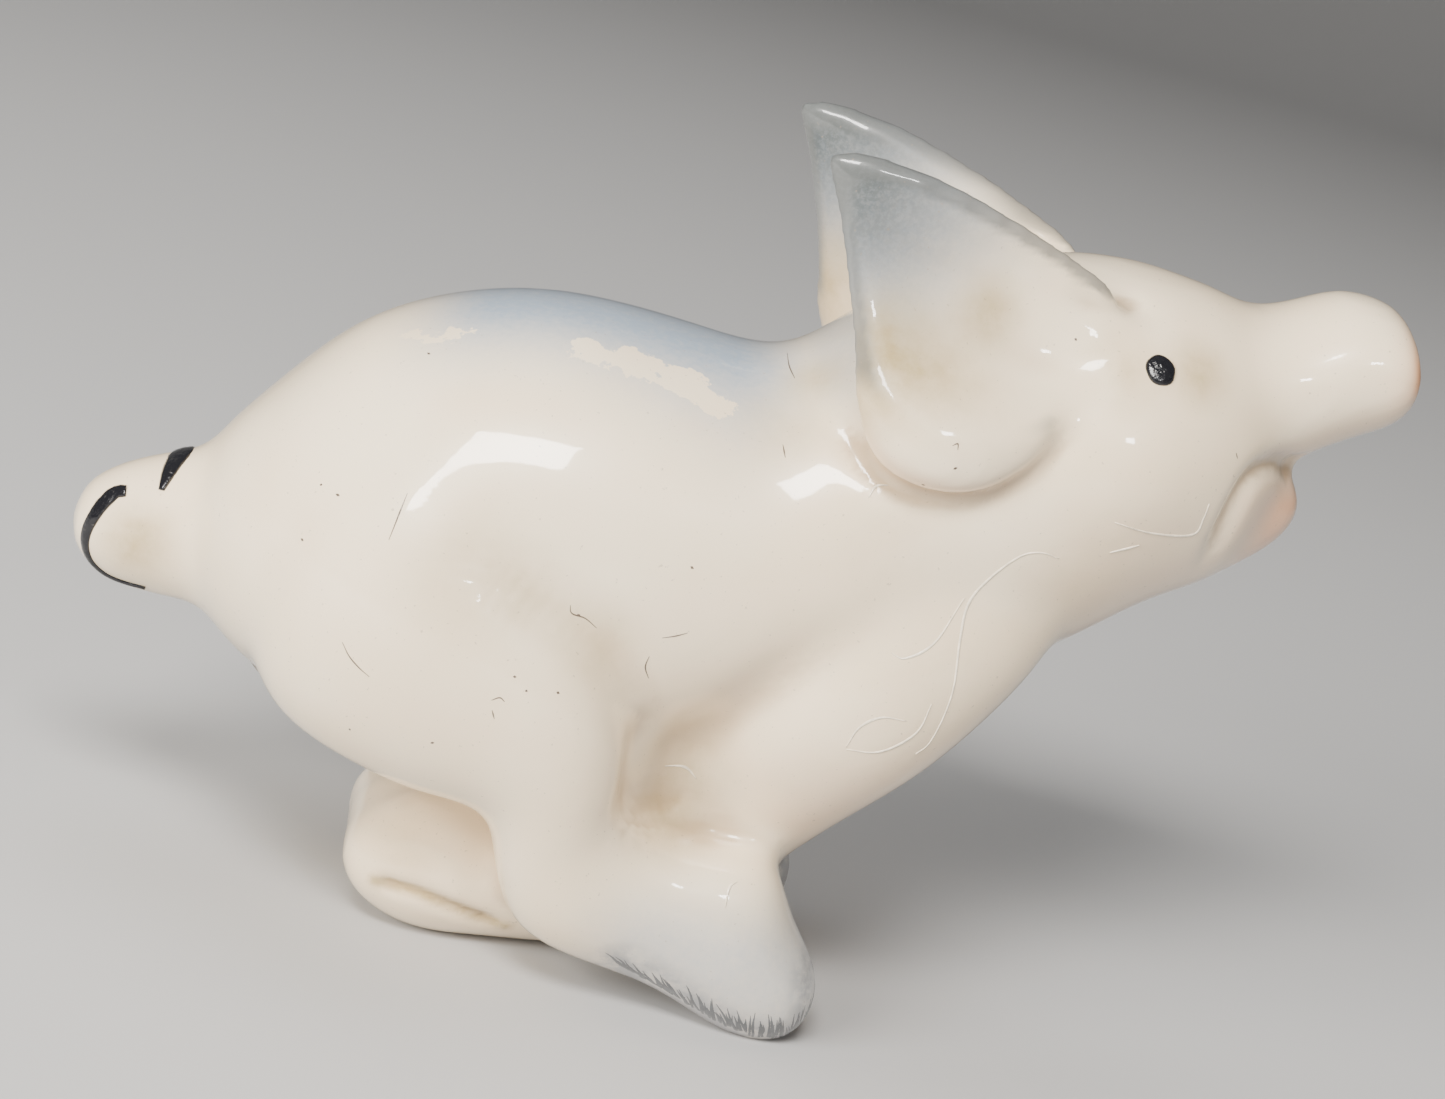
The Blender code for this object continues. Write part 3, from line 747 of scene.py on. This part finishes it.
def build_fine_marks(surface, rng):
    """Crazing with its painted glint, hairs, specks and the painted bristles of the hind hooves."""
    bm = bmesh.new()
    for line in CRAZING:
        path = surface.path(line, RIGHT, 6 * len(line))
        bead(bm, path, swelling(len(path), 0.12, 0.5, 0.12, 0.5), 0.12 * MM)
    # the crazing lines are coloured lighter than the glaze as a painted glint
    finish_marks("crazing_with_painted_glint", bm, line_material("crazing_with_painted_glint", (0.94, 0.82, 0.64)), "cream_glaze")
    bm = bmesh.new()
    for line in HAIRS:
        path = surface.path(line, RIGHT, 6 * len(line))
        bead(bm, path, swelling(len(path), 0.08, 0.24, 0.08, 0.5), 0.05 * MM)
    for x, z in SPECKS:
        length = rng.uniform(0.3, 0.6)
        path = surface.path(((x, z), (x + length, z + rng.uniform(-0.3, 0.3))), RIGHT, 5)
        bead(bm, path, swelling(len(path), 0.1, 0.42, 0.1, 0.5), 0.06 * MM)
    finish_marks("hairs_and_specks", bm, line_material("dark_specks", (0.12, 0.085, 0.06)), "cream_glaze")
    bm = bmesh.new()
    edge = curve_through(HOOF_EDGE, 400)
    for side in (RIGHT, LEFT):
        for place in np.linspace(0, 1, 120):
            along = min(max(place + rng.uniform(-0.012, 0.012), 0), 1)
            x, z = edge[int(along * (len(edge) - 1))]
            lean = math.radians(60 - 75 * along + rng.uniform(-12, 12))
            length = rng.uniform(1.6, 4.2) * (0.75 + 0.5 * math.sin(math.pi * along))
            start = rng.uniform(-0.2, 0.8)
            reach = np.array((-math.sin(lean), math.cos(lean)))
            root = np.array((x, z)) + reach * start
            bow = np.array((reach[1], -reach[0])) * rng.uniform(-0.3, 0.3)
            path = surface.path((root, root + reach * length / 2 + bow, root + reach * length), side, 9)
            if len(path) > 4:
                bead(bm, path, swelling(len(path), 0.4, 0.46, 0.08, 0.4), 0.025 * MM)
    finish_marks("hoof_bristles", bm, line_material("bristle_paint", (0.11, 0.115, 0.12)), "cream_glaze")


def build_stopper(rubber):
    """A hollow-ended plug with a retaining bead, over a flange with a ring and a dimple."""
    rim = HOLE_RADIUS + FLANGE_RIM
    plug = HOLE_RADIUS - CLEARANCE
    base = -SEAT_SINK
    profile = [(0, STOPPER_DEPTH - 1.2 * MM), (4.4 * MM, STOPPER_DEPTH - 1.2 * MM), (4.9 * MM, STOPPER_DEPTH)]
    profile += rounded((plug - 0.8 * MM, STOPPER_DEPTH), 0.7 * MM, (-1, 0), (0, -1))
    profile += [(plug - 0.5 * MM, 6.4 * MM), (plug - 0.15 * MM, 6 * MM), (plug - 0.15 * MM, 5.2 * MM)]
    profile += [(plug - 0.45 * MM, 4.8 * MM), (plug, 0.9 * MM), (plug, -CLEARANCE)]
    profile += rounded((rim, -CLEARANCE), 0.6 * MM, (-1, 0), (0, -1))
    profile += rounded((rim, base), 0.7 * MM, (0, 1), (-1, 0))
    profile += [(6.6 * MM, base), (6.2 * MM, base + 0.6 * MM), (5.4 * MM, base + 0.6 * MM), (5 * MM, base)]
    profile += [(2.2 * MM, base), (1.8 * MM, base + 0.7 * MM), (0, base + 0.7 * MM)]
    stopper = turned("rubber_stopper", profile, seat_frame(), rubber, 72)
    stopper.data.shade_smooth()
    edges = stopper.modifiers.new("Crisp rims", "BEVEL")
    edges.width = 0.12 * MM
    edges.segments = 2
    edges.angle_limit = math.radians(35)
    edges.use_clamp_overlap = True
    bake_modifiers(stopper)
    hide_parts("stopper")
    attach(stopper, "stopper")


def rounded(corner, radius, before, after):
    """Points of an arc that rounds a profile's corner."""
    corner, before, after = np.array(corner), np.array(before), np.array(after)
    middle = corner + radius * (before + after)
    return [tuple(middle - radius * (math.sin(a) * before + math.cos(a) * after))
            for a in np.linspace(0, math.pi / 2, 5)]


# ---------------------------------------------------------------- materials

class Nodes:
    """A short way to lay out a material's nodes."""

    def __init__(self, name):
        self.mat = bpy.data.materials.new(name)
        self.mat.use_nodes = True
        self.tree = self.mat.node_tree
        self.shader = self.tree.nodes["Principled BSDF"]
        self.place = self.tree.nodes.new("ShaderNodeTexCoord").outputs["Object"]

    def add(self, kind, **inputs):
        node = self.tree.nodes.new(kind)
        for key, value in inputs.items():
            self.feed(node.inputs[key], value)
        return node

    def feed(self, socket, value):
        if isinstance(value, bpy.types.NodeSocket):
            self.tree.links.new(value, socket)
        elif isinstance(value, tuple):
            socket.default_value = (*value, 1)
        else:
            socket.default_value = value

    def surface(self, **values):
        """Set the shader's own inputs, with _ for the space in their names."""
        for name, value in values.items():
            self.feed(self.shader.inputs[name.replace("_", " ")], value)
        return self.mat

    def math(self, operation, first, second):
        node = self.tree.nodes.new("ShaderNodeMath")
        node.operation = operation
        self.feed(node.inputs[0], first)
        self.feed(node.inputs[1], second)
        return node.outputs[0]

    def times(self, first, second):
        return self.math("MULTIPLY", first, second)

    def spread(self, value, base, gain):
        return self.math("ADD", base, self.times(value, gain))

    def mix(self, factor, below, above):
        node = self.tree.nodes.new("ShaderNodeMix")
        node.data_type = "RGBA"
        self.feed(node.inputs["Factor"], factor)
        self.feed(node.inputs[6], below)
        self.feed(node.inputs[7], above)
        return node.outputs[2]

    def ramp(self, value, low, high):
        """0 below low, 1 above high, smooth between."""
        node = self.tree.nodes.new("ShaderNodeMapRange")
        node.interpolation_type = "SMOOTHSTEP"
        node.clamp = True
        self.feed(node.inputs["Value"], value)
        node.inputs["From Min"].default_value = low
        node.inputs["From Max"].default_value = high
        return node.outputs[0]

    def noise(self, scale, detail=3.0, rough=0.5):
        node = self.add("ShaderNodeTexNoise", Vector=self.place, Scale=scale, Detail=detail, Roughness=rough)
        return node.outputs["Fac"]

    def paint(self, name):
        """A weight painted on the mesh."""
        node = self.tree.nodes.new("ShaderNodeAttribute")
        node.attribute_name = name
        return node.outputs["Fac"]

    def bump(self, height, distance, strength=1.0):
        node = self.add("ShaderNodeBump", Height=height, Distance=distance, Strength=strength)
        return node.outputs["Normal"]


def glaze_material():
    n = Nodes("cream_glaze")
    mottle = n.noise(60, 4, 0.55)
    fine = n.noise(900, 3, 0.6)
    broken = n.noise(230, 5, 0.65)
    cloud = n.noise(28, 3, 0.5)
    grain = n.noise(1500, 5, 0.7)
    colour = n.mix(n.ramp(cloud, 0.35, 0.65), (0.85, 0.69, 0.48), (0.89, 0.75, 0.55))
    frayed = n.times(n.math("SUBTRACT", broken, 0.5), 1.9)
    worn = n.ramp(n.math("ADD", n.paint("bare"), frayed), 0.49, 0.54)
    unworn = n.math("SUBTRACT", 1, n.times(worn, 0.9))
    spray = n.times(n.times(n.paint("spray"), n.spread(fine, 0.78, 0.4)), unworn)
    dust = n.ramp(n.noise(1700, 2, 0.5), 0.70, 0.75)
    layers = (
        # pink blush of lip, jaw and snout, with warm painted shade on the surfaces that face down
        (n.times(n.paint("blush_and_under_shade"), n.spread(mottle, 0.7, 0.6)), (0.78, 0.46, 0.28)),
        (n.times(n.paint("rim"), n.ramp(mottle, 0.3, 0.6)), (0.66, 0.27, 0.09)),
        (spray, (0.29, 0.35, 0.42)),
        (n.times(n.paint("tip"), n.spread(n.ramp(grain, 0.36, 0.6), 0.84, 0.16)), (0.032, 0.045, 0.046)),
        (n.times(n.paint("wash"), n.times(n.ramp(broken, 0.35, 0.6), 0.7)), (0.20, 0.21, 0.23)),
        # age stains, with painted shade in the leg hollows and along the hoof crease
        (n.times(n.paint("stain_and_shade"), n.spread(broken, 0.35, 1.4)), (0.36, 0.255, 0.085)),
        # brown painted shade in the skin's hollows, with the grime that settles there
        (n.times(n.paint("grime_and_hollow_shade"), n.spread(mottle, 0.2, 0.6)), (0.43, 0.28, 0.14)),
        # painted shadow line along the ears' rims
        (n.times(n.paint("ear_rim_shadow"), 0.75), (0.13, 0.135, 0.13)),
        (n.times(dust, 0.45), (0.30, 0.22, 0.15)),
    )
    for share, tint in layers:
        colour = n.mix(share, colour, tint)
    wave = n.bump(n.noise(55, 2, 0.4), 0.00035, 0.5)
    skin = n.add("ShaderNodeBump", Height=n.noise(420, 2, 0.5), Distance=0.00003, Strength=0.5, Normal=wave)
    lie = skin.outputs["Normal"]
    return n.surface(Base_Color=colour, Roughness=0.32, Coat_Weight=1.0, Coat_Roughness=0.05, Coat_IOR=1.5,
                     Normal=lie, Coat_Normal=lie)


def biscuit_material():
    n = Nodes("raw_biscuit")
    colour = n.mix(n.noise(180, 4), (0.52, 0.42, 0.32), (0.68, 0.58, 0.46))
    return n.surface(Base_Color=colour, Roughness=0.85, Normal=n.bump(n.noise(1200), 0.0001))


def enamel_material():
    n = Nodes("black_enamel")
    speck = n.ramp(n.noise(1500, 3, 0.6), 0.62, 0.72)
    colour = n.mix(speck, (0.008, 0.008, 0.010), (0.05, 0.048, 0.045))
    return n.surface(Base_Color=colour, Roughness=0.2, Coat_Weight=0.4, Coat_Roughness=0.06,
                     Normal=n.bump(n.noise(1300, 3, 0.6), 0.00022, 0.8))


def line_material(name, colour):
    n = Nodes(name)
    dim = tuple(0.72 * c for c in colour)
    shade = n.mix(n.ramp(n.noise(700, 3, 0.6), 0.3, 0.7), dim, colour)
    return n.surface(Base_Color=shade, Roughness=0.3, Coat_Weight=1.0, Coat_Roughness=0.05,
                     Normal=n.bump(n.noise(1600, 2), 0.00002, 0.4))


def rubber_material():
    n = Nodes("stopper_rubber")
    # on the rubber this noise is grime only, with no shade
    grime_and_hollow_shade = n.noise(240, 5, 0.65)
    colour = n.mix(grime_and_hollow_shade, (0.10, 0.09, 0.08), (0.26, 0.23, 0.20))
    return n.surface(Base_Color=colour, Roughness=n.ramp(grime_and_hollow_shade, -0.8, 1.2),
                     Normal=n.bump(n.noise(2500), 0.00006))


# ---------------------------------------------------------------- paint

def ball(points, x, y, z, radius, soft):
    """1 inside a ball about a point in millimetres, fading over its outer share."""
    gap = np.linalg.norm(points / MM - np.array((x, y, z)), axis=1)
    return 1 - smoothstep(radius * (1 - soft), radius, gap)


def paint(mesh, name, values):
    """Store a weight from 0 to 1 at each point, for the glaze's material to read."""
    layer = mesh.attributes.new(name, "FLOAT", "POINT")
    layer.data.foreach_set("value", np.clip(values, 0, 1).astype(np.float32))


def paint_skin(skin, surface):
    """Where the spray, the stains, the painted shade and the other colours lie on the glaze."""
    mesh = skin.data
    points = points_of(mesh)
    normals = points_of(mesh, "normal")
    x, y, z = (points / MM).T
    back = smoothstep(-58, -40, x) * (1 - smoothstep(-6, 12, x))
    reach = 20 + 5 * smoothstep(-35, 0, x)
    spine = back * (1 - smoothstep(0.3 * reach, 1.3 * reach, np.abs(y))) * smoothstep(60, 82, z)
    neck = smoothstep(-2, 8, x) * (1 - smoothstep(12, 30, x)) * (1 - smoothstep(14, 26, np.abs(y)))
    spine = np.maximum(spine, 0.45 * neck * smoothstep(88, 98, z))
    foot = smoothstep(-16, 2, x) * (1 - smoothstep(14, 27, z)) * smoothstep(12, 16, np.abs(y))
    from_tip = np.hypot(x + 2, 1.1 * (z - 130))
    sides = smoothstep(12, 16, np.abs(y)) * smoothstep(98, 103, z) * (1 - smoothstep(42, 48, x))
    ear = 0.8 * sides * (1 - smoothstep(14, 40, from_tip))
    paint(mesh, "spray", np.maximum.reduce((spine, 0.6 * foot, ear)))
    paint(mesh, "tip", 0.96 * sides * (1 - smoothstep(2, 33, from_tip)))
    bare = np.zeros(len(x))
    for spot in WORN:
        bare += (1 - bare) * ball(points, *spot, soft=0.8)
    paint(mesh, "bare", bare)
    bristles = np.full(len(x), 1.0)
    for a, b in curve_through(HOOF_EDGE, 60):
        bristles = np.minimum(bristles, np.hypot(x - a, z - b) / 6)
    paint(mesh, "wash", (1 - smoothstep(0.2, 1, bristles)) * smoothstep(10, 14, np.abs(y)))
    # age stains, two of them painted shade in the hollow between the legs
    stain_and_shade = np.zeros(len(x))
    for a, b, radius, weight in STAINS_AND_POCKET_SHADE:
        for spot in surface.pair(a, b):
            stain_and_shade += (1 - stain_and_shade) * weight * ball(points, *(spot / MM), radius, soft=1)
    # painted shade along the hoof crease, added to the stains
    crease, _ = near_path(mesh, surface, HOOF_CREASE)
    paint(mesh, "stain_and_shade", np.maximum(stain_and_shade, 0.75 * np.exp(-(crease / (1.1 * MM)) ** 2)))
    lip = smoothstep(66, 80, x) * (1 - smoothstep(92, 100, z))
    jaw = smoothstep(40, 70, x) * (1 - smoothstep(70, 92, z)) * smoothstep(60, 66, z)
    # warm painted shade on the down-facing surfaces of the front half
    under = smoothstep(0.1, 0.9, -normals[:, 2]) * smoothstep(-10, 20, x) * 0.42
    nose = smoothstep(84, 92, x - 0.15 * (z - 115))
    paint(mesh, "blush_and_under_shade", np.maximum.reduce((lip, 0.35 * jaw, under, 0.4 * nose)))
    rim = np.exp(-((x - 0.25 * (115 - z) - 92.3) / 1.6) ** 2)
    rim *= smoothstep(0.6, 0.95, np.hypot(y / 12, (z - 114.5) / 8.5))
    paint(mesh, "rim", rim * smoothstep(80, 86, x))
    # how hollow the skin is at each point: its hollows get brown painted shade, with the grime that settles
    # there
    hollow = ((relaxed(mesh, 20) - points) * normals).sum(1) / MM
    paint(mesh, "grime_and_hollow_shade", smoothstep(0.06, 0.4, hollow) * smoothstep(2, 6, z))
    # painted shadow line where the ears' rims bulge out
    paint(mesh, "ear_rim_shadow", sides * smoothstep(0.14, 0.34, -hollow))


# ---------------------------------------------------------------- studio

def soft_light(name, target, direction, distance, size, power, colour=(1, 1, 1), mirrored=False):
    """A rectangular lamp that faces the target; the glaze mirrors it only when asked."""
    data = bpy.data.lights.new(name, "AREA")
    data.shape = "RECTANGLE"
    data.size, data.size_y = size
    data.energy = power
    data.color = colour
    ob = bpy.data.objects.new(name, data)
    ob.visible_glossy = mirrored
    bpy.context.scene.collection.objects.link(ob)
    aim = Vector(direction).normalized()
    ob.location = Vector(target) + aim * distance
    ob.rotation_euler = aim.to_track_quat("Z", "Y").to_euler()


def build_camera():
    """The camera, and the point it looks at."""
    azimuth, elevation, roll = (math.radians(angle) for angle in (-8, 16, 15))
    distance, lens, sensor = 0.450, 75.1, 36.0
    middle = Vector((1 * MM, 0, 64.5 * MM))
    data = bpy.data.cameras.new("camera")
    data.lens = lens
    data.sensor_width = sensor
    data.clip_start = 0.01
    data.clip_end = 20
    camera = bpy.data.objects.new("camera", data)
    bpy.context.scene.collection.objects.link(camera)
    back = Vector((math.sin(azimuth) * math.cos(elevation), -math.cos(azimuth) * math.cos(elevation),
                   math.sin(elevation)))
    right = Vector((math.cos(azimuth), math.sin(azimuth), 0))
    up = back.cross(right)
    tilted_right = math.cos(roll) * right + math.sin(roll) * up
    tilted_up = -math.sin(roll) * right + math.cos(roll) * up
    turn = Matrix((tilted_right, tilted_up, back)).transposed()
    camera.matrix_world = Matrix.Translation(middle + back * distance) @ turn.to_4x4()
    bpy.context.scene.camera = camera
    return middle


def build_studio():
    """A round floor that sweeps up at its edge, under a dim pale sky."""
    n = Nodes("pale_floor")
    pale = n.surface(Base_Color=(0.47, 0.465, 0.46), Roughness=0.9, Specular_IOR_Level=0.2)
    bm = bmesh.new()
    flat, bend = 1.7, 1.3
    profile = [(0, 0), (flat, 0)]
    for angle in np.linspace(0.15, math.pi / 2, 9):
        profile.append((flat + bend * math.sin(angle), bend - bend * math.cos(angle)))
    verts = [bm.verts.new((r, 0, h)) for r, h in profile]
    edges = [bm.edges.new(pair) for pair in zip(verts, verts[1:])]
    spin_round(bm, verts + edges, 64, 0.0005)
    floor = add_mesh("studio_floor", bm, pale)
    floor.data.shade_smooth()
    world = bpy.data.worlds.new("studio_world")
    world.use_nodes = True
    sky = world.node_tree.nodes["Background"]
    sky.inputs["Color"].default_value = (0.80, 0.82, 0.85, 1)
    sky.inputs["Strength"].default_value = 0.14
    bpy.context.scene.world = world


def build_lights(surface, middle):
    """A window and a small lamp that the glaze mirrors, a broad key panel and soft fills."""
    flank, normal = surface.from_side(-34, 80.5, RIGHT)
    view = (bpy.context.scene.camera.location - flank).normalized()
    glance = 2 * normal.dot(view) * normal - view
    soft_light("window", flank, glance, 1.0, (0.42, 0.24), 15, (1.0, 0.97, 0.93), mirrored=True)
    soft_light("left_panel", middle, (-1.0, -0.85, 0.45), 1.3, (0.7, 0.7), 35, (1.0, 0.97, 0.92))
    soft_light("overhead", middle, (-0.1, 0.25, 1.0), 1.3, (0.8, 0.8), 7)
    soft_light("fill", middle, (1.0, -0.7, 0.3), 1.6, (0.8, 0.8), 0.5)
    soft_light("lamp", middle, (0.42, -1, 0.72), 1.2, (0.09, 0.09), 1.6, mirrored=True)


# ---------------------------------------------------------------- build

def main():
    middle = build_camera()
    build_studio()
    glaze = glaze_material()
    biscuit = biscuit_material()
    enamel = enamel_material()
    rng = np.random.default_rng(7)
    skin = build_skin(glaze, biscuit)
    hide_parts("body_shell", "tail_knob", "front_hooves", "ear_left", "ear_right")
    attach(skin, BODY)
    surface = Surface(skin)
    build_lights(surface, middle)
    for side in (RIGHT, LEFT):
        build_eye(surface, side, enamel, rng)
    build_tail_strokes(surface, enamel)
    build_fine_marks(surface, rng)
    build_stopper(rubber_material())


main()
